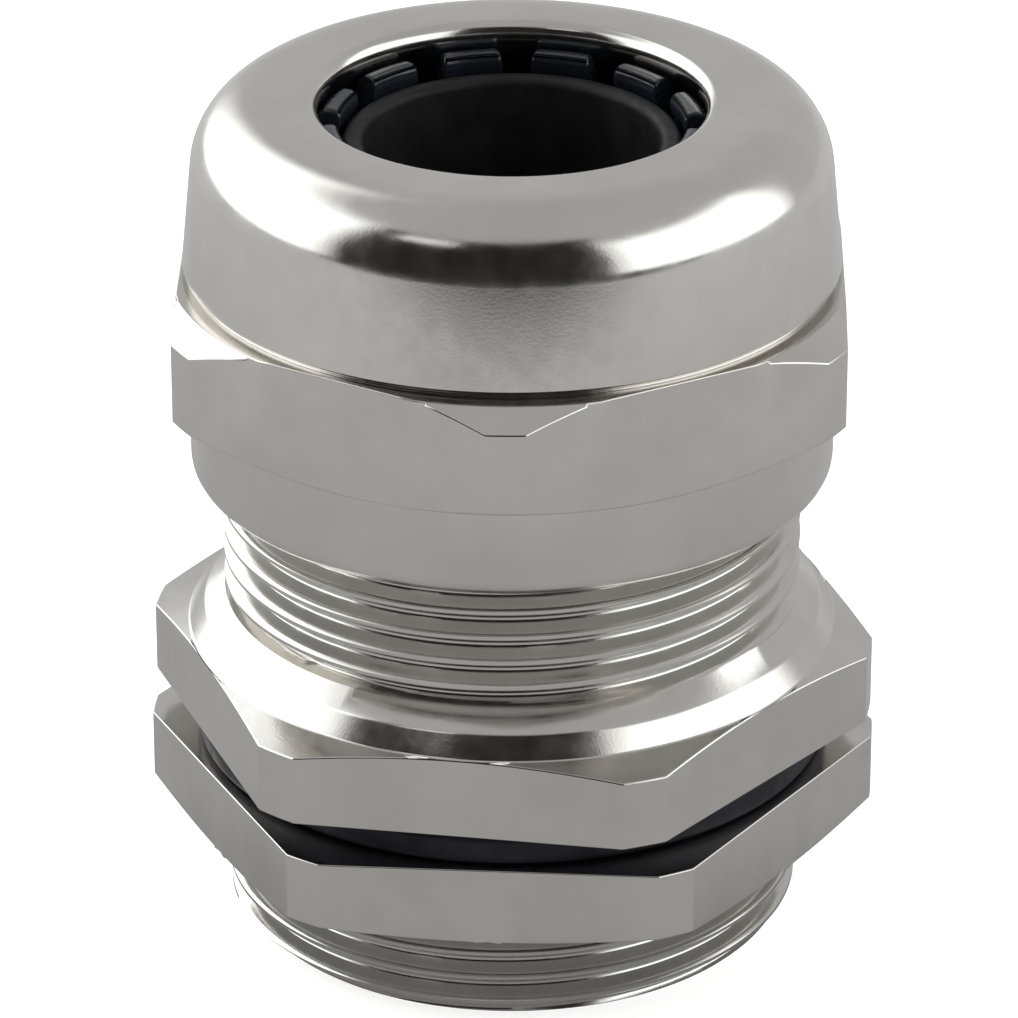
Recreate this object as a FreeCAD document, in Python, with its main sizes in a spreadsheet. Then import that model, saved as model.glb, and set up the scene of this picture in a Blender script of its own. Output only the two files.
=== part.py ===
"""Metric cable gland M32 x 1.5 with dome nut, clamping claw, rubber seal and lock nut.

The gland stands on the end of its connection thread, with its dome up. All lengths
are millimetres. Every radius and level of the turned pieces is a cell of the sheet.
"""
import FreeCAD, Part
import math
import os

import Sketcher
from FreeCAD import Placement, Rotation, Vector

UP = Vector(0, 0, 1)
FINGER_COUNT = 12
HEXAGON_SIDES = 6
ANGLE_BETWEEN_FINGERS = 360.0 / FINGER_COUNT

SIZES = {
    # metric thread on both ends of the gland body: its crests, its undercuts and its nuts;
    # only the groove just below the lock nut is cut, and its other turns are left as crest
    "thread_crest": 15.95,
    "thread_undercut": 15.0,
    "nut_bore": 16.0,
    "nut_bore_mouth": 16.6,
    "thread_end": 0.0,
    "thread_end_full": 1.0,
    "thread_root": 15.05,
    "thread_groove_low": 4.7,
    "thread_groove_floor_low": 5.2,
    "thread_groove_floor_high": 5.45,
    "thread_groove_high": 5.95,
    # wrench size of the flange and of both nuts
    "across_flats_half": 18.0,
    # gland body, from the connection thread up: hexagon flange, round boss with a sloped shoulder
    "undercut_low": 11.2,
    "flange_low": 12.4,
    "flange_corner": 20.1,
    "flange_shoulder": 16.4,
    "boss_foot": 17.95,
    "boss_foot_level": 17.05,
    "boss_land": 17.1,
    "flange_high": 18.25,
    "boss_shoulder_high": 19.2,
    "body_crest_high": 34.2,
    "body_high": 35.0,
    "body_lip": 15.15,
    "claw_seat_wall": 13.9,
    "claw_seat_low": 31.8,
    "seal_seat_wall": 12.3,
    "seal_seat_low": 24.5,
    "cable_way_wall": 11.2,
    "cable_way_high": 23.4,
    "entry_wall": 12.6,
    "entry_cone_high": 5.0,
    "entry_high": 3.0,
    # dome nut: collar, hexagon, groove, dome and the inner cone that closes the claw
    "collar_low": 26.6,
    "collar_wall": 17.65,
    "hexagon_low": 31.65,
    "hexagon_low_full": 32.8,
    "hexagon_corner": 20.2,
    "hexagon_high_full": 37.35,
    "hexagon_high": 38.3,
    "hexagon_land": 17.85,
    "hexagon_land_high": 18.65,
    "groove_wall": 17.5,
    "groove_high": 38.5,
    "dome_foot": 17.9,
    "dome_foot_level": 38.75,
    "dome_shoulder": 17.02,
    "dome_high": 48.0,
    "mouth_wall": 10.5,
    "mouth_low": 46.9,
    "cone_wide": 15.2,
    "cone_low": 39.15,
    # lock nut
    "lock_nut_low": 6.0,
    "lock_nut_mouth_low": 6.6,
    "lock_nut_low_full": 6.55,
    "lock_nut_mouth_high": 9.85,
    "lock_nut_high": 10.45,
    "lock_nut_corner": 20.2,
    # gasket between the lock nut and the flange
    "gasket_low": 10.5,
    "gasket_high": 12.35,
    "gasket_wall": 17.6,
    # claw: a ring in its seat, with fingers that lean inwards above it
    "claw_bore": 12.2,
    "claw_wall": 13.8,
    "claw_ring_low": 31.9,
    "claw_ring_high": 35.85,
    "finger_low": 36.0,
    "finger_root": 36.55,
    "finger_root_back": 13.55,
    "finger_root_front": 12.45,
    "finger_knee": 12.1,
    "finger_knee_level": 43.0,
    "finger_tip_back": 10.6,
    "finger_tip_back_level": 46.3,
    "finger_tip_crown": 10.2,
    "finger_tip_crown_front": 9.6,
    "finger_high": 46.7,
    "finger_tip_front": 9.3,
    "finger_tip_front_high": 46.4,
    "finger_tip_front_low": 45.9,
    "finger_root_half_width": 3.1,
    "finger_tip_half_width": 1.6,
    # rubber seal
    "seal_bore": 8.0,
    "seal_wall": 12.1,
    "seal_low": 24.6,
    "seal_cone_low": 36.6,
    "seal_tip": 9.05,
    "seal_high": 45.7,
    # roundings
    "dome_round": 4.0,
    "mouth_round": 0.5,
    "collar_round": 0.9,
    "gasket_round": 0.5,
    "finger_root_round": 0.5,
    "seal_round": 0.3,
}

# where each hexagon has its flats, in degrees about the axis
FLANGE_ANGLE = -9.3
DOME_NUT_ANGLE = 29.0
LOCK_NUT_ANGLE = -4.1
FIRST_FINGER_ANGLE = 13.5

# closed outlines, as pairs of sheet cells: radius, level
GLAND_BODY = [
    ("thread_undercut", "thread_end"),
    ("thread_crest", "thread_end_full"),
    ("thread_crest", "thread_groove_low"),
    ("thread_root", "thread_groove_floor_low"),
    ("thread_root", "thread_groove_floor_high"),
    ("thread_crest", "thread_groove_high"),
    ("thread_crest", "undercut_low"),
    ("thread_undercut", "undercut_low"),
    ("thread_undercut", "flange_low"),
    ("flange_corner", "flange_low"),
    ("flange_corner", "flange_shoulder"),
    ("boss_foot", "boss_foot_level"),
    ("boss_land", "flange_high"),
    ("thread_crest", "boss_shoulder_high"),
    ("thread_crest", "body_crest_high"),
    ("body_lip", "body_high"),
    ("claw_seat_wall", "body_high"),
    ("claw_seat_wall", "claw_seat_low"),
    ("seal_seat_wall", "claw_seat_low"),
    ("seal_seat_wall", "seal_seat_low"),
    ("cable_way_wall", "cable_way_high"),
    ("cable_way_wall", "entry_cone_high"),
    ("entry_wall", "entry_high"),
    ("entry_wall", "thread_end"),
]
DOME_NUT = [
    ("nut_bore", "collar_low"),
    ("collar_wall", "collar_low"),
    ("collar_wall", "hexagon_low"),
    ("hexagon_land", "hexagon_low"),
    ("hexagon_corner", "hexagon_low_full"),
    ("hexagon_corner", "hexagon_high_full"),
    ("hexagon_land_high", "hexagon_high"),
    ("groove_wall", "hexagon_high"),
    ("groove_wall", "groove_high"),
    ("dome_foot", "dome_foot_level"),
    ("dome_shoulder", "dome_high"),
    ("mouth_wall", "dome_high"),
    ("mouth_wall", "mouth_low"),
    ("cone_wide", "cone_low"),
    ("nut_bore", "cone_low"),
]
LOCK_NUT = [
    ("nut_bore_mouth", "lock_nut_low"),
    ("across_flats_half", "lock_nut_low"),
    ("lock_nut_corner", "lock_nut_low_full"),
    ("lock_nut_corner", "lock_nut_high"),
    ("nut_bore_mouth", "lock_nut_high"),
    ("nut_bore", "lock_nut_mouth_high"),
    ("nut_bore", "lock_nut_mouth_low"),
]
CONNECTION_SEAL = [
    ("nut_bore", "gasket_low"),
    ("gasket_wall", "gasket_low"),
    ("gasket_wall", "gasket_high"),
    ("nut_bore", "gasket_high"),
]
CLAW_RING = [
    ("claw_bore", "claw_ring_low"),
    ("claw_wall", "claw_ring_low"),
    ("claw_wall", "claw_ring_high"),
    ("claw_bore", "claw_ring_high"),
]
FINGER = [
    ("finger_root_front", "finger_low"),
    ("finger_root_back", "finger_low"),
    ("finger_root_back", "finger_root"),
    ("finger_knee", "finger_knee_level"),
    ("finger_tip_back", "finger_tip_back_level"),
    ("finger_tip_crown", "finger_high"),
    ("finger_tip_crown_front", "finger_high"),
    ("finger_tip_front", "finger_tip_front_high"),
    ("finger_tip_front", "finger_tip_front_low"),
    ("finger_root_front", "finger_root"),
]
SEAL_INSERT = [
    ("seal_bore", "seal_low"),
    ("seal_wall", "seal_low"),
    ("seal_wall", "seal_cone_low"),
    ("seal_tip", "seal_high"),
    ("seal_bore", "seal_high"),
]


def add_sheet(doc):
    """Spreadsheet with one named cell for each size."""
    sheet = doc.addObject("Spreadsheet::Sheet", "Sizes")
    for row, (alias, value) in enumerate(SIZES.items(), start=1):
        sheet.set(f"A{row}", alias)
        sheet.set(f"B{row}", str(value))
        sheet.setAlias(f"B{row}", alias)
    doc.recompute()


def bind(feature, sizes):
    """Binds properties of a feature to cells of the sheet."""
    for name, cell in sizes.items():
        setattr(feature, name, SIZES[cell])
        feature.setExpression(name, f"Sizes.{cell}")


def draw_outline(sketch, outline):
    """Closed chain of lines whose corners stand at the given radii and levels."""
    corners = [Vector(SIZES[radius], SIZES[level], 0) for radius, level in outline]
    for start, end in zip(corners, corners[1:] + corners[:1]):
        sketch.addGeometry(Part.LineSegment(start, end), False)
    origin, first_point, last_point = -1, 1, 2
    for line, (radius, level) in enumerate(outline):
        line_before = (line - 1) % len(outline)
        joined = Sketcher.Constraint("Coincident", line_before, last_point, line, first_point)
        sketch.addConstraint(joined)
        for direction, cell in (("DistanceX", radius), ("DistanceY", level)):
            distance = Sketcher.Constraint(
                direction, origin, first_point, line, first_point, SIZES[cell])
            number = sketch.addConstraint(distance)
            sketch.setExpression(f"Constraints[{number}]", f"Sizes.{cell}")


def turned(doc, name, outline):
    """Body made by turning an outline about the gland's axis."""
    body = doc.addObject("PartDesign::Body", name)
    upright = next(plane for plane in body.Origin.OriginFeatures if plane.Role == "XZ_Plane")
    sketch = body.newObject("Sketcher::SketchObject", f"{name}_outline")
    sketch.AttachmentSupport = [(upright, "")]
    sketch.MapMode = "FlatFace"
    draw_outline(sketch, outline)
    revolution = body.newObject("PartDesign::Revolution", f"{name}_turned")
    revolution.Profile = sketch
    revolution.ReferenceAxis = (sketch, ["V_Axis"])
    revolution.Angle = 360
    doc.recompute()
    return body


def circle_edges(shape, circles):
    """Names of the full circles about the axis at the given radius and level cells."""
    names = []
    for number, edge in enumerate(shape.Edges, start=1):
        if not isinstance(edge.Curve, Part.Circle):
            continue
        for radius, level in circles:
            same_radius = math.isclose(edge.Curve.Radius, SIZES[radius], abs_tol=1e-4)
            same_level = math.isclose(edge.Curve.Center.z, SIZES[level], abs_tol=1e-4)
            if same_radius and same_level:
                names.append(f"Edge{number}")
    return names


def rounded(doc, body, name, round_cell, circles):
    """Rounds the circular edges of a turned body."""
    unrounded = body.Tip
    edges = circle_edges(unrounded.Shape, circles)
    if len(edges) != len(circles):
        raise RuntimeError(f"{name}: found {len(edges)} of {len(circles)} edges")
    fillet = body.newObject("PartDesign::Fillet", name)
    fillet.Base = (unrounded, edges)
    bind(fillet, {"Radius": round_cell})
    body.Tip = fillet
    doc.recompute()


def with_flats(doc, name, blank, angle):
    """Turned blank milled to a hexagon across the flats."""
    hexagon = doc.addObject("Part::Prism", f"{name}_hexagon")
    hexagon.Polygon = HEXAGON_SIDES
    hexagon.Circumradius = SIZES["across_flats_half"] / math.cos(math.pi / HEXAGON_SIDES)
    hexagon.setExpression("Circumradius", f"Sizes.across_flats_half / cos(180 deg / {HEXAGON_SIDES})")
    bind(hexagon, {"Height": "dome_high"})
    hexagon.Placement = Placement(Vector(), Rotation(UP, angle))
    milled = doc.addObject("Part::Common", name)
    milled.Base = blank
    milled.Tool = hexagon
    return milled


def make_gland_body(doc):
    """Double-ended threaded body with a hexagonal flange and a stepped cable way."""
    blank = turned(doc, "gland_body_blank", GLAND_BODY)
    return with_flats(doc, "gland_body", blank, FLANGE_ANGLE)


def make_dome_nut(doc):
    """Nut with a round collar, a hexagon and a drafted dome around the cable mouth."""
    blank = turned(doc, "dome_nut_blank", DOME_NUT)
    rounded(doc, blank, "dome_shoulder_round", "dome_round", [("dome_shoulder", "dome_high")])
    rounded(doc, blank, "dome_mouth_round", "mouth_round", [("mouth_wall", "dome_high")])
    rounded(doc, blank, "collar_edge_round", "collar_round", [("collar_wall", "collar_low")])
    return with_flats(doc, "dome_nut", blank, DOME_NUT_ANGLE)


def make_lock_nut(doc):
    """Flat nut, chamfered below, that holds the gland in a wall."""
    blank = turned(doc, "lock_nut_blank", LOCK_NUT)
    return with_flats(doc, "lock_nut", blank, LOCK_NUT_ANGLE)


def make_connection_seal(doc):
    """Rubber gasket with rounded outer edges."""
    body = turned(doc, "connection_seal", CONNECTION_SEAL)
    outer_edges = [("gasket_wall", "gasket_low"), ("gasket_wall", "gasket_high")]
    rounded(doc, body, "gasket_edge_round", "gasket_round", outer_edges)
    return body


def make_seal_insert(doc):
    """Rubber sleeve around the cable, coned where the claw closes on it."""
    body = turned(doc, "seal_insert", SEAL_INSERT)
    tip_edges = [("seal_bore", "seal_high"), ("seal_tip", "seal_high")]
    rounded(doc, body, "seal_tip_round", "seal_round", tip_edges)
    return body


def make_fingers(doc):
    """Claw fingers: wedge-shaped slices of one leaning ring."""
    ring = turned(doc, "finger_ring", FINGER)
    root_edges = [("finger_root_front", "finger_low"), ("finger_root_back", "finger_low")]
    rounded(doc, ring, "finger_root_rounding", "finger_root_round", root_edges)
    fingers = []
    for index in range(FINGER_COUNT):
        name = f"finger_{index + 1:02d}"
        slice_between_slots = doc.addObject("Part::Wedge", f"{name}_slice")
        slice_between_slots.setExpression("Xmin", "-Sizes.finger_root_half_width")
        slice_between_slots.setExpression("Xmax", "Sizes.finger_root_half_width")
        slice_between_slots.setExpression("X2min", "-Sizes.finger_tip_half_width")
        slice_between_slots.setExpression("X2max", "Sizes.finger_tip_half_width")
        bind(slice_between_slots, {"Ymin": "finger_low", "Ymax": "finger_high"})
        bind(slice_between_slots, {"Zmin": "seal_bore", "Z2min": "seal_bore"})
        bind(slice_between_slots, {"Zmax": "nut_bore", "Z2max": "nut_bore"})
        upright = Placement(Vector(), Rotation(Vector(1, 0, 0), 90))
        angle = FIRST_FINGER_ANGLE + index * ANGLE_BETWEEN_FINGERS
        around = Placement(Vector(), Rotation(UP, angle + 90))
        slice_between_slots.Placement = around * upright
        finger = doc.addObject("Part::Common", name)
        finger.Base = ring
        finger.Tool = slice_between_slots
        fingers.append(finger)
    return fingers


def check(doc, subparts):
    """Stops before anything is written if an object failed or a shape is not a solid."""
    doc.recompute()
    for item in doc.Objects:
        if "Invalid" in item.State or "Error" in item.State:
            raise RuntimeError(f"{item.Name} failed: {item.State}")
    for subpart in subparts:
        shape = subpart.Shape
        if shape.isNull() or not shape.isValid() or len(shape.Solids) != 1:
            raise RuntimeError(f"{subpart.Label} is not one valid solid")
        print(f"{subpart.Label}: {shape.Volume:.1f} mm3")


def main():
    doc = FreeCAD.newDocument("CableGland")
    add_sheet(doc)
    subparts = [
        make_gland_body(doc),
        make_dome_nut(doc),
        make_lock_nut(doc),
        make_connection_seal(doc),
        turned(doc, "claw_ring", CLAW_RING),
        make_seal_insert(doc),
    ]
    subparts += make_fingers(doc)
    check(doc, subparts)
    os.makedirs("parts", exist_ok=True)
    for subpart in subparts:
        subpart.Shape.exportStep(f"parts/{subpart.Label}.step")


main()
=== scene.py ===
"""Looks of the metric cable gland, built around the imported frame."""
import math

import bmesh
import bpy
from mathutils import Euler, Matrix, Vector


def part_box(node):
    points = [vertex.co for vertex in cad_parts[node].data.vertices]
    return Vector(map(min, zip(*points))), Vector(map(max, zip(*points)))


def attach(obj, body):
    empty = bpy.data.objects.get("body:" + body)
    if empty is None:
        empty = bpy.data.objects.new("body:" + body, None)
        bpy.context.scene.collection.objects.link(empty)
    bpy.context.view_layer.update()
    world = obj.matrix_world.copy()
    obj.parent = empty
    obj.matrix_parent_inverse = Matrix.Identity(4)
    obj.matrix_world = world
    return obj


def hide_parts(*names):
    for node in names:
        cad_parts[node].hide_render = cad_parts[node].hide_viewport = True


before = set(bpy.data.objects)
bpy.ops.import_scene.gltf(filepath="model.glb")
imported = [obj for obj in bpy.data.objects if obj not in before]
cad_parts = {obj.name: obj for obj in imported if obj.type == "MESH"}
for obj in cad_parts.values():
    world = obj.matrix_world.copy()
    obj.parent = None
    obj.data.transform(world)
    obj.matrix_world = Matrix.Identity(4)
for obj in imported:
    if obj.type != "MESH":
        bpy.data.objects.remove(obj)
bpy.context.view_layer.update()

MM = 0.001
FULL_TURN = 2 * math.pi

# the gland's driving sizes, in millimetres, as in the solids
PITCH = 1.5
FLAT_RADIUS = 18.0
THREAD_CREST = 15.95
THREAD_ROOT = 15.05
FINGER_COUNT = 12


def levels(node):
    """Lowest and highest level of a node, in millimetres."""
    low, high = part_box(node)
    return low.z / MM, high.z / MM


# ---------------------------------------------------------------- outlines

def rounded_corner(before, corner, after, radius, steps=5):
    """Points of a round that takes off an outline's corner."""
    corner = Vector(corner)
    towards_before = (Vector(before) - corner).normalized()
    towards_after = (Vector(after) - corner).normalized()
    half_angle = towards_before.angle(towards_after) / 2
    setback = radius / math.tan(half_angle)
    centre = corner + (towards_before + towards_after).normalized() * radius / math.sin(half_angle)
    first = corner + towards_before * setback - centre
    sweep = first.angle_signed(corner + towards_after * setback - centre)
    points = []
    for step in range(steps + 1):
        turn = -sweep * step / steps
        spoke = Vector((first.x * math.cos(turn) - first.y * math.sin(turn),
                        first.x * math.sin(turn) + first.y * math.cos(turn)))
        points.append(tuple(centre + spoke))
    return points


def with_rounds(corners):
    """Outline whose corners, given as (radius, level, round), are rounded where round is not 0."""
    points = []
    for index, (radius, level, corner_round) in enumerate(corners):
        before = corners[index - 1][:2]
        after = corners[(index + 1) % len(corners)][:2]
        if corner_round:
            points += rounded_corner(before, (radius, level), after, corner_round)
        else:
            points.append((radius, level))
    return points


# ---------------------------------------------------------------- threads

CREST_FLAT = 0.16       # shares of one pitch
ROOT_FLAT = 0.20
THREAD_STEPS = [step / 16 for step in range(16)]


def thread_radius(phase):
    """Radius of the V thread at a phase of one pitch: crest at 0, root at 0.5."""
    from_crest = min(phase, 1 - phase)
    crest_half = CREST_FLAT / 2
    root_half = ROOT_FLAT / 2
    fall = (from_crest - crest_half) / (0.5 - root_half - crest_half)
    fall = min(max(fall, 0.0), 1.0)
    eased = fall * fall * (3 - 2 * fall)
    return THREAD_CREST - (THREAD_CREST - THREAD_ROOT) * (0.65 * fall + 0.35 * eased)


class Thread:
    """A stretch of an outline that is a right-hand thread, from one level up to another."""

    def __init__(self, low, high, low_chamfer=0.0, high_chamfer=0.0):
        self.low = low
        self.high = high
        self.low_chamfer = low_chamfer
        self.high_chamfer = high_chamfer
        turns = math.ceil((high - low) / PITCH) + 2
        self.rows = [turn - 1 + step for turn in range(turns) for step in THREAD_STEPS]

    def place(self, row, azimuth):
        """Radius and level of one row of the thread at an azimuth."""
        lead = azimuth / FULL_TURN
        level = self.low + PITCH * (row + lead)
        level = min(max(level, self.low), self.high)
        phase = ((level - self.low) / PITCH - lead) % 1.0
        radius = thread_radius(phase)
        if self.low_chamfer:
            radius = min(radius, THREAD_CREST - self.low_chamfer + (level - self.low))
        if self.high_chamfer:
            radius = min(radius, THREAD_CREST - self.high_chamfer + (self.high - level))
        return radius, level


# ---------------------------------------------------------------- turned meshes

def flat_limit(azimuth, face_angle):
    """How far a hexagon reaches at an azimuth, when one of its flats faces face_angle."""
    from_flat = (math.degrees(azimuth) - face_angle + 30.0) % 60.0 - 30.0
    return FLAT_RADIUS / math.cos(math.radians(from_flat))


def mill(points, limit):
    """Cuts an outline back to a limit, sliding each cut corner along its own edge."""
    milled = []
    for index, (radius, level) in enumerate(points):
        if radius > limit:
            for near_radius, near_level in (points[index - 1], points[(index + 1) % len(points)]):
                if near_radius < limit:
                    share = (limit - near_radius) / (radius - near_radius)
                    level = near_level + (level - near_level) * share
                    break
            radius = limit
        milled.append((radius, level))
    return milled


def hexagon_azimuths(face_angle, corner_radius, step=2.5):
    """Azimuths around a hexagon, with the ends of each flat among them."""
    half_flat = math.degrees(math.acos(FLAT_RADIUS / corner_radius))
    azimuths = []
    for side in range(6):
        middle = face_angle + 60.0 * side
        count = math.ceil(2 * half_flat / step)
        azimuths += [middle - half_flat + 2 * half_flat * index / count for index in range(count + 1)]
        corner_steps = 4
        corner = 60.0 - 2 * half_flat
        azimuths += [middle + half_flat + corner * index / corner_steps for index in range(1, corner_steps)]
    return sorted(math.radians(azimuth % 360.0) for azimuth in azimuths)


def even_azimuths(count=180):
    return [FULL_TURN * index / count for index in range(count)]


def turned(name, outline, azimuths, face_angle=None):
    """Closed mesh turned about the Z axis. The outline's stretches are points or threads."""
    row_shift = []
    for stretch in outline:
        first = len(row_shift)
        if isinstance(stretch, Thread):
            last = first + len(stretch.rows) - 1
            row_shift += [min(first + row + len(THREAD_STEPS), last) for row in range(len(stretch.rows))]
        else:
            row_shift.append(first)
    vertices = []
    for azimuth in azimuths:
        column = []
        for stretch in outline:
            if isinstance(stretch, Thread):
                column += [stretch.place(row, azimuth) for row in stretch.rows]
            else:
                column.append(stretch)
        if face_angle is not None:
            column = mill(column, flat_limit(azimuth, face_angle))
        for radius, level in column:
            vertices.append((radius * MM * math.cos(azimuth), radius * MM * math.sin(azimuth), level * MM))
    row_count = len(row_shift)
    faces = []
    for column in range(len(azimuths)):
        around = column == len(azimuths) - 1
        here = column * row_count
        there = 0 if around else here + row_count
        for row in range(row_count):
            above = (row + 1) % row_count
            there_row = row_shift[row] if around else row
            there_above = row_shift[above] if around else above
            faces.append((here + row, there + there_row, there + there_above, here + above))
    return clean_mesh(name, vertices, faces)


def clean_mesh(name, vertices, faces):
    """Object from vertices and faces, with doubled corners merged and normals outwards."""
    mesh = bpy.data.meshes.new(name)
    work = bmesh.new()
    corners = [work.verts.new(vertex) for vertex in vertices]
    for face in faces:
        distinct = list(dict.fromkeys(face))
        if len(distinct) > 2:
            work.faces.new([corners[index] for index in distinct])
    bmesh.ops.remove_doubles(work, verts=work.verts, dist=1e-3 * MM)
    bmesh.ops.dissolve_degenerate(work, edges=work.edges, dist=1e-3 * MM)
    bmesh.ops.recalc_face_normals(work, faces=work.faces)
    for face in work.faces:
        face.smooth = True
    work.to_mesh(mesh)
    work.free()
    piece = bpy.data.objects.new(name, mesh)
    bpy.context.scene.collection.objects.link(piece)
    return piece


def soften_edges(piece, width, low, high, sharp_angle=17.0):
    """Small rounds on the sharp edges that lie between two levels, in millimetres."""
    mesh = piece.data
    work = bmesh.new()
    work.from_mesh(mesh)
    weight = work.edges.layers.float.new("bevel_weight_edge")
    for edge in work.edges:
        inside = all(low * MM < corner.co.z < high * MM for corner in edge.verts)
        if inside and edge.is_manifold and edge.calc_face_angle() > math.radians(sharp_angle):
            edge[weight] = 1.0
    work.to_mesh(mesh)
    work.free()
    bevel = piece.modifiers.new("Rounds", "BEVEL")
    bevel.limit_method = "WEIGHT"
    bevel.width = width * MM
    bevel.segments = 2
    bevel.harden_normals = True
    bevel.use_clamp_overlap = False
    mesh.set_sharp_from_angle(angle=math.radians(32))


# ---------------------------------------------------------------- materials

class Nodes:
    """Short way to build a material's node tree."""

    def __init__(self, name):
        self.material = bpy.data.materials.new(name)
        self.material.use_nodes = True
        self.tree = self.material.node_tree
        self.shader = self.tree.nodes["Principled BSDF"]

    def add(self, kind, settings=None, inputs=None):
        node = self.tree.nodes.new(kind)
        for key, value in (settings or {}).items():
            setattr(node, key, value)
        for key, value in (inputs or {}).items():
            if isinstance(value, bpy.types.NodeSocket):
                self.tree.links.new(value, node.inputs[key])
            else:
                node.inputs[key].default_value = value
        return node

    def link(self, output, socket):
        self.tree.links.new(output, self.shader.inputs[socket])

    def place(self):
        """Position on the piece, which stands at the origin, in metres."""
        return self.add("ShaderNodeTexCoord").outputs["Object"]

    def noise(self, place, grain, detail=3.0, roughness=0.55):
        """Noise with blotches of about the given size in millimetres."""
        inputs = {"Vector": place, "Scale": 1.0 / (grain * MM), "Detail": detail, "Roughness": roughness}
        return self.add("ShaderNodeTexNoise", inputs=inputs).outputs["Fac"]

    def ramp(self, value, low, high, low_output, high_output):
        inputs = {
            "Value": value, "From Min": low, "From Max": high, "To Min": low_output, "To Max": high_output}
        return self.add("ShaderNodeMapRange", inputs=inputs).outputs["Result"]

    def mix_colour(self, factor, first, second, blend="MIX"):
        node = self.add("ShaderNodeMix", {"data_type": "RGBA", "blend_type": blend}, {"Factor": factor})
        for socket, value in ((node.inputs[6], first), (node.inputs[7], second)):
            if isinstance(value, bpy.types.NodeSocket):
                self.tree.links.new(value, socket)
            else:
                socket.default_value = (*value, 1.0)
        return node.outputs[2]

    def bump(self, height, strength, depth):
        inputs = {"Height": height, "Strength": strength, "Distance": depth * MM}
        return self.add("ShaderNodeBump", inputs=inputs).outputs["Normal"]


def nickel(name, light, dark, smooth, rough, grain_strength):
    """Satin nickel plating: fine grain, faint turning marks and cloudy shade."""
    nodes = Nodes(name)
    place = nodes.place()
    clouds = nodes.noise(place, 6.0)
    nodes.link(nodes.mix_colour(nodes.ramp(clouds, 0.35, 0.65, 0.0, 1.0), light, dark), "Base Color")
    patches = nodes.noise(place, 1.2, detail=5.0)
    nodes.link(nodes.ramp(patches, 0.3, 0.7, smooth, rough), "Roughness")
    grain = nodes.noise(place, 0.16, detail=2.0)
    squeezed = nodes.add("ShaderNodeMapping", inputs={"Vector": place, "Scale": (1.0, 1.0, 40.0)})
    marks = nodes.noise(squeezed.outputs["Vector"], 3.0, detail=2.0)
    relief = nodes.add("ShaderNodeMath", {"operation": "MULTIPLY_ADD"}, {0: marks, 1: 0.08, 2: grain})
    nodes.link(nodes.bump(relief.outputs["Value"], grain_strength, 0.01), "Normal")
    nodes.shader.inputs["Metallic"].default_value = 1.0
    return nodes.material


def rubber(name, light, dark, roughness, grain):
    """Matt rubber with a fine moulded texture and dusty patches."""
    nodes = Nodes(name)
    place = nodes.place()
    clouds = nodes.noise(place, 2.5, detail=5.0)
    nodes.link(nodes.mix_colour(nodes.ramp(clouds, 0.35, 0.7, 0.0, 1.0), dark, light), "Base Color")
    nodes.link(nodes.ramp(nodes.noise(place, 0.8), 0.3, 0.7, roughness - 0.07, roughness + 0.07), "Roughness")
    nodes.link(nodes.bump(nodes.noise(place, grain), 0.25, 0.02), "Normal")
    nodes.shader.inputs["Specular IOR Level"].default_value = 0.2
    return nodes.material


def glossy_plastic(name, light, dark):
    """Black polyamide with a moulding's slight waviness."""
    nodes = Nodes(name)
    place = nodes.place()
    nodes.link(nodes.mix_colour(nodes.noise(place, 1.5), dark, light), "Base Color")
    nodes.link(nodes.ramp(nodes.noise(place, 0.6), 0.3, 0.7, 0.16, 0.3), "Roughness")
    nodes.link(nodes.bump(nodes.noise(place, 0.9), 0.12, 0.05), "Normal")
    nodes.shader.inputs["Coat Weight"].default_value = 0.3
    return nodes.material


def finish(piece, material, slot, body, *nodes):
    """Gives a piece its material and its body, and hides the nodes that it stands for."""
    piece.data.materials.clear()
    piece.data.materials.append(material)
    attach(piece, body)
    if nodes:
        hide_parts(*nodes)


# ---------------------------------------------------------------- pieces

# where one flat of each hexagon faces, in degrees about the axis
FLANGE_ANGLE = -99.3
DOME_NUT_ANGLE = -61.0
LOCK_NUT_ANGLE = -94.1
FIRST_FINGER_ANGLE = 13.5
FLANGE_CORNER = 20.1
HEXAGON_CORNER = 20.2
LOCK_NUT_CORNER = 20.2


def make_gland_body(material):
    """Body with both threads, the hexagonal flange and the stepped cable way."""
    base, top = levels("gland_body")
    flange_low, shoulder, boss_high, shoulder_high = 12.4, 16.4, 18.25, 19.2
    outline = [(15.0, base)]
    outline.append(Thread(base, 11.2, low_chamfer=0.95))
    outline += [(15.0, 11.3), (15.0, flange_low)]
    outline += [(FLANGE_CORNER, flange_low), (FLANGE_CORNER, shoulder)]
    outline.append((17.95, 17.05))
    outline += rounded_corner((17.95, 17.05), (17.1, boss_high), (15.95, shoulder_high), 0.8)
    outline.append((15.95, shoulder_high))
    outline.append(Thread(shoulder_high + 0.1, top, high_chamfer=0.85))
    outline += with_rounds([
        (13.9, top, 0.2), (13.9, 31.8, 0.1), (12.3, 31.8, 0.1), (12.3, 24.5, 0),
        (11.2, 23.4, 0), (11.2, 5.0, 0), (12.6, 3.0, 0), (12.6, base, 0.2)])
    azimuths = hexagon_azimuths(FLANGE_ANGLE, FLANGE_CORNER)
    body = turned("gland_body_threaded", outline, azimuths, FLANGE_ANGLE)
    soften_edges(body, 0.1, flange_low - 0.1, shoulder + 1.0)
    finish(body, material, "nickel_body", "gland_body", "gland_body")


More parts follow.
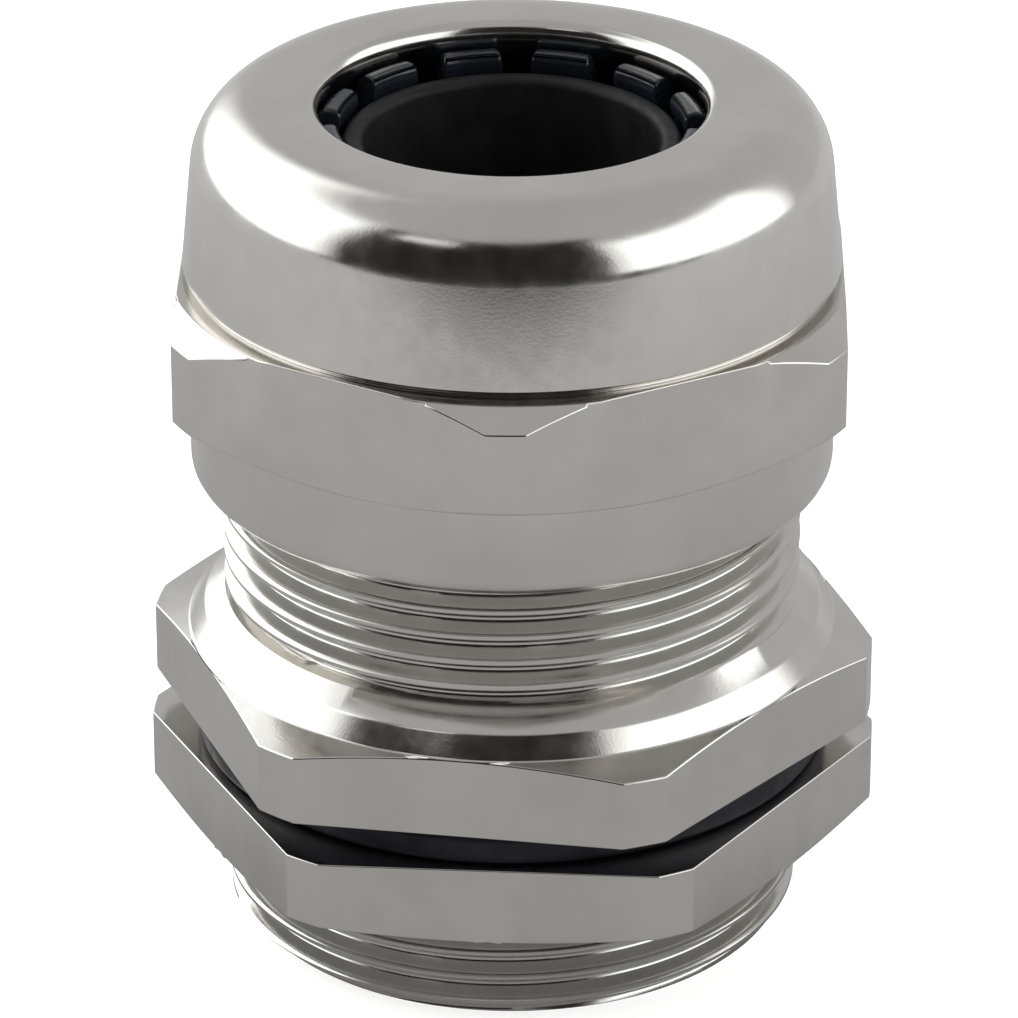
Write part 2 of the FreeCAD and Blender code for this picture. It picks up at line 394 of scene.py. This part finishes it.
def make_dome_nut(material):
    """Cap nut: round collar, hexagon, groove and drafted dome with the cable mouth."""
    low, high = levels("dome_nut")
    hexagon_low, hexagon_high = 31.65, 38.3
    outline = with_rounds([
        (16.0, low, 0.25), (17.65, low, 0.9), (17.65, hexagon_low, 0)])
    outline += [(17.85, hexagon_low), (HEXAGON_CORNER, 32.8), (HEXAGON_CORNER, 37.35)]
    outline += [(18.65, hexagon_high), (17.85, hexagon_high)]
    outline += [(17.5, hexagon_high), (17.5, 38.5), (17.9, 38.75)]
    outline += rounded_corner((17.9, 38.75), (17.02, high), (11.0, high), 4.0, steps=16)
    outline += rounded_corner((13.0, high), (10.5, high), (10.5, 46.9), 0.7, steps=6)
    outline += [(10.5, 46.9), (15.2, 39.15), (16.0, 39.15)]
    azimuths = hexagon_azimuths(DOME_NUT_ANGLE, HEXAGON_CORNER)
    nut = turned("dome_nut_turned", outline, azimuths, DOME_NUT_ANGLE)
    soften_edges(nut, 0.08, hexagon_low - 0.05, 38.72)
    finish(nut, material, "nickel_dome", "dome_nut", "dome_nut")


def make_lock_nut(material):
    """Flat hexagonal nut, chamfered below and around its thread."""
    low, high = levels("lock_nut")
    outline = [
        (16.6, low), (FLAT_RADIUS, low), (LOCK_NUT_CORNER, low + 0.55), (LOCK_NUT_CORNER, high),
        (16.6, high), (16.0, high - 0.6), (16.0, low + 0.6)]
    azimuths = hexagon_azimuths(LOCK_NUT_ANGLE, LOCK_NUT_CORNER)
    nut = turned("lock_nut_turned", outline, azimuths, LOCK_NUT_ANGLE)
    soften_edges(nut, 0.08, low - 0.1, high + 0.1)
    finish(nut, material, "nickel_lock_nut", "lock_nut", "lock_nut")


def make_gasket(material):
    """Black sealing ring, its outer edge round."""
    low, high = levels("connection_seal")
    outline = with_rounds([(16.0, low, 0.1), (17.6, low, 0.5), (17.6, high, 0.5), (16.0, high, 0.1)])
    gasket = turned("connection_seal_ring", outline, even_azimuths())
    finish(gasket, material, "gasket_rubber", "gasket", "connection_seal")


def make_seal_insert(material):
    """Rubber sleeve with a rounded upper rim."""
    low, high = levels("seal_insert")
    outline = with_rounds([
        (8.0, low, 0.3), (12.1, low, 0.4), (12.1, 36.6, 0.5), (9.05, high, 0.35), (8.0, high, 0.5)])
    sleeve = turned("seal_insert_sleeve", outline, even_azimuths())
    finish(sleeve, material, "seal_rubber", "seal", "seal_insert")


def make_claw(material):
    """Claw ring and the fingers that stand on it."""
    low, high = levels("claw_ring")
    outline = with_rounds([(12.2, low, 0.2), (13.8, low, 0.2), (13.8, high, 0.2), (12.2, high, 0.2)])
    ring = turned("claw_ring_moulded", outline, even_azimuths())
    finish(ring, material, "claw_plastic", "claw", "claw_ring")
    for index in range(FINGER_COUNT):
        make_finger(index, material)


def make_finger(index, material):
    """One leaning finger: its side outline carried across its tapering width."""
    node = f"finger_{index + 1:02d}"
    low, high = levels(node)
    outline = with_rounds([
        (12.45, low, 0.4), (13.55, low, 0.4), (13.55, 36.55, 0), (12.1, 43.0, 0.5),
        (10.6, 46.3, 0), (10.2, high, 0), (9.6, high, 0), (9.3, 46.4, 0), (9.3, 45.9, 0), (12.45, 36.55, 0)])
    root_half_width, tip_half_width = 3.1, 1.6
    across = [-1.0, -0.6, -0.2, 0.2, 0.6, 1.0]
    angle = math.radians(FIRST_FINGER_ANGLE + index * 360.0 / FINGER_COUNT)
    outwards = Vector((math.cos(angle), math.sin(angle), 0))
    sideways = Vector((-math.sin(angle), math.cos(angle), 0))
    vertices = []
    for share in across:
        for radius, level in outline:
            height = (level - low) / (high - low)
            offset = share * (root_half_width + (tip_half_width - root_half_width) * height)
            depth = math.sqrt(radius * radius - offset * offset)
            vertices.append((outwards * depth + sideways * offset + Vector((0, 0, level))) * MM)
    count = len(outline)
    faces = [tuple(range(count)), tuple(reversed(range(count * (len(across) - 1), count * len(across))))]
    for strip in range(len(across) - 1):
        for point in range(count):
            following = (point + 1) % count
            here, there = strip * count, (strip + 1) * count
            faces.append((here + point, here + following, there + following, there + point))
    finger = clean_mesh(f"{node}_moulded", vertices, faces)
    soften_edges(finger, 0.22, low - 1, high + 1, sharp_angle=28.0)
    finish(finger, material, "claw_plastic", node, node)


# ---------------------------------------------------------------- stage, light and camera

STAGE_HALF_SIDE = 1.2


def flat_square(name, level):
    """Large level square around the object, in metres."""
    half = STAGE_HALF_SIDE
    corners = [(-half, -half, level), (half, -half, level), (half, half, level), (-half, half, level)]
    mesh = bpy.data.meshes.new(name)
    mesh.from_pydata(corners, [], [(0, 1, 2, 3)])
    square = bpy.data.objects.new(name, mesh)
    bpy.context.scene.collection.objects.link(square)
    return square


def make_floor():
    """Plain pale floor under the object, lit a little from below like a light table."""
    floor = flat_square("floor", 0.0)
    nodes = Nodes("pale_floor")
    place = nodes.place()
    shade = nodes.mix_colour(nodes.noise(place, 40.0), (0.80, 0.80, 0.80), (0.84, 0.84, 0.84))
    nodes.link(shade, "Base Color")
    nodes.shader.inputs["Roughness"].default_value = 0.7
    nodes.shader.inputs["Emission Color"].default_value = (1, 1, 1, 1)
    nodes.shader.inputs["Emission Strength"].default_value = 0.7
    floor.data.materials.append(nodes.material)


def make_reflector():
    """Glowing card on the table that only shows in reflections: a painted reflection of the lit floor,
    darkened close to the object as painted contact shade, with the dark room past its front edge.
    """
    card = flat_square("reflector", 0.05 * MM)
    nodes = Nodes("painted_reflection_card")
    place = nodes.place()
    distance = nodes.add("ShaderNodeVectorMath", {"operation": "LENGTH"}, {0: place}).outputs["Value"]
    # painted contact shade: the glow is dimmer within 30 mm of the axis and grows further out, painted shade
    # where the object hides the floor
    painted_contact_shade = nodes.ramp(distance, 15 * MM, 30 * MM, 0.2, 0.42)
    far = nodes.ramp(distance, 30 * MM, 180 * MM, 0.0, 0.22)
    grey = nodes.add("ShaderNodeMath", {"operation": "ADD"}, {0: painted_contact_shade, 1: far}).outputs["Value"]
    depth = nodes.add("ShaderNodeSeparateXYZ", inputs={0: place}).outputs["Y"]
    lit = nodes.ramp(depth, -250 * MM, -200 * MM, 0.05, 1.0)
    brightness = nodes.add("ShaderNodeMath", {"operation": "MULTIPLY"}, {0: grey, 1: lit}).outputs["Value"]
    nodes.link(brightness, "Emission Color")
    nodes.shader.inputs["Emission Strength"].default_value = 1.0
    nodes.shader.inputs["Base Color"].default_value = (0, 0, 0, 1)
    nodes.shader.inputs["Specular IOR Level"].default_value = 0.0
    card.data.materials.append(nodes.material)
    card.visible_camera = False
    card.visible_diffuse = False
    card.visible_shadow = False


class Sky:
    """Room around the object, as brightness by direction."""

    def __init__(self, tree):
        self.tree = tree
        direction = tree.nodes.new("ShaderNodeTexCoord").outputs["Generated"]
        parts = tree.nodes.new("ShaderNodeSeparateXYZ")
        tree.links.new(direction, parts.inputs[0])
        to_the_front = self.math("MULTIPLY", parts.outputs["Y"], -1.0)
        azimuth = self.math("ARCTAN2", parts.outputs["X"], to_the_front)
        self.azimuth = self.math("DEGREES", azimuth, 0.0)
        self.elevation = self.math("DEGREES", self.math("ARCSINE", parts.outputs["Z"], 0.0), 0.0)

    def math(self, operation, first, second):
        node = self.tree.nodes.new("ShaderNodeMath")
        node.operation = operation
        for socket, value in zip(node.inputs, (first, second)):
            if isinstance(value, bpy.types.NodeSocket):
                self.tree.links.new(value, socket)
            else:
                socket.default_value = value
        return node.outputs["Value"]

    def band(self, angle, centre, half_width, edge):
        """1 within half a width of a centre angle, fading to 0 over a soft edge, in degrees."""
        away = self.math("ABSOLUTE", self.math("SUBTRACT", angle, centre), 0.0)
        node = self.tree.nodes.new("ShaderNodeMapRange")
        node.interpolation_type = "SMOOTHSTEP"
        self.tree.links.new(away, node.inputs["Value"])
        node.inputs["From Min"].default_value = half_width - edge
        node.inputs["From Max"].default_value = half_width + edge
        node.inputs["To Min"].default_value = 1.0
        node.inputs["To Max"].default_value = 0.0
        return node.outputs["Result"]

    def panel(self, azimuth, elevation, half_width, half_height, edge):
        """Soft-edged panel that hangs in a direction."""
        across = self.band(self.azimuth, azimuth, half_width, edge)
        upright = self.band(self.elevation, elevation, half_height, edge)
        return self.math("MULTIPLY", across, upright)

    def blend(self, brightness, panel, target):
        """Brightness moved towards a target value where a panel hangs."""
        change = self.math("SUBTRACT", target, brightness)
        return self.math("ADD", brightness, self.math("MULTIPLY", change, panel))


def make_world():
    """Light tent: bright panels at both sides and an opening with the dark room at the front."""
    world = bpy.data.worlds.new("studio")
    world.use_nodes = True
    sky = Sky(world.node_tree)
    brightness = sky.blend(0.56, sky.band(sky.elevation, 80.0, 38.0, 20.0), 0.50)
    brightness = sky.blend(brightness, sky.panel(-15.0, 23.0, 51.0, 32.0, 3.0), 0.02)
    brightness = sky.blend(brightness, sky.panel(-113.0, 20.0, 44.0, 32.0, 9.0), 2.1)
    brightness = sky.blend(brightness, sky.panel(76.0, 15.0, 36.0, 28.0, 5.0), 1.9)
    brightness = sky.blend(brightness, sky.panel(37.0, 22.0, 1.5, 27.0, 1.0), 1.2)
    brightness = sky.blend(brightness, sky.panel(-38.0, 49.0, 13.0, 4.0, 2.0), 1.1)
    background = world.node_tree.nodes["Background"]
    world.node_tree.links.new(brightness, background.inputs["Color"])
    background.inputs["Strength"].default_value = 1.0
    bpy.context.scene.world = world


def make_camera():
    """Long lens, looking down at the gland from the front."""
    camera = bpy.data.cameras.new("camera")
    camera.lens = 228.3
    camera.sensor_width = 36.0
    camera.shift_x = -0.003
    camera.shift_y = -0.0056
    eye = bpy.data.objects.new("camera", camera)
    elevation = math.radians(25.92)
    distance = 0.3570
    eye.location = (0, -distance * math.cos(elevation), 0.02368 + distance * math.sin(elevation))
    eye.rotation_euler = Euler((math.pi / 2 - elevation, 0, 0))
    bpy.context.scene.collection.objects.link(eye)
    bpy.context.scene.camera = eye


satin_nickel = nickel("satin_nickel", (0.675, 0.66, 0.63), (0.62, 0.605, 0.575), 0.13, 0.21, 0.24)
make_gland_body(satin_nickel)
make_dome_nut(satin_nickel)
make_lock_nut(satin_nickel)
make_gasket(rubber("gasket_rubber", (0.014, 0.014, 0.022), (0.005, 0.005, 0.008), 0.42, 0.25))
make_seal_insert(rubber("seal_rubber", (0.022, 0.022, 0.024), (0.010, 0.010, 0.011), 0.5, 0.2))
make_claw(glossy_plastic("claw_plastic", (0.022, 0.026, 0.038), (0.010, 0.012, 0.018)))

make_floor()
make_reflector()
make_world()
make_camera()
bpy.context.scene.view_settings.view_transform = "Standard"
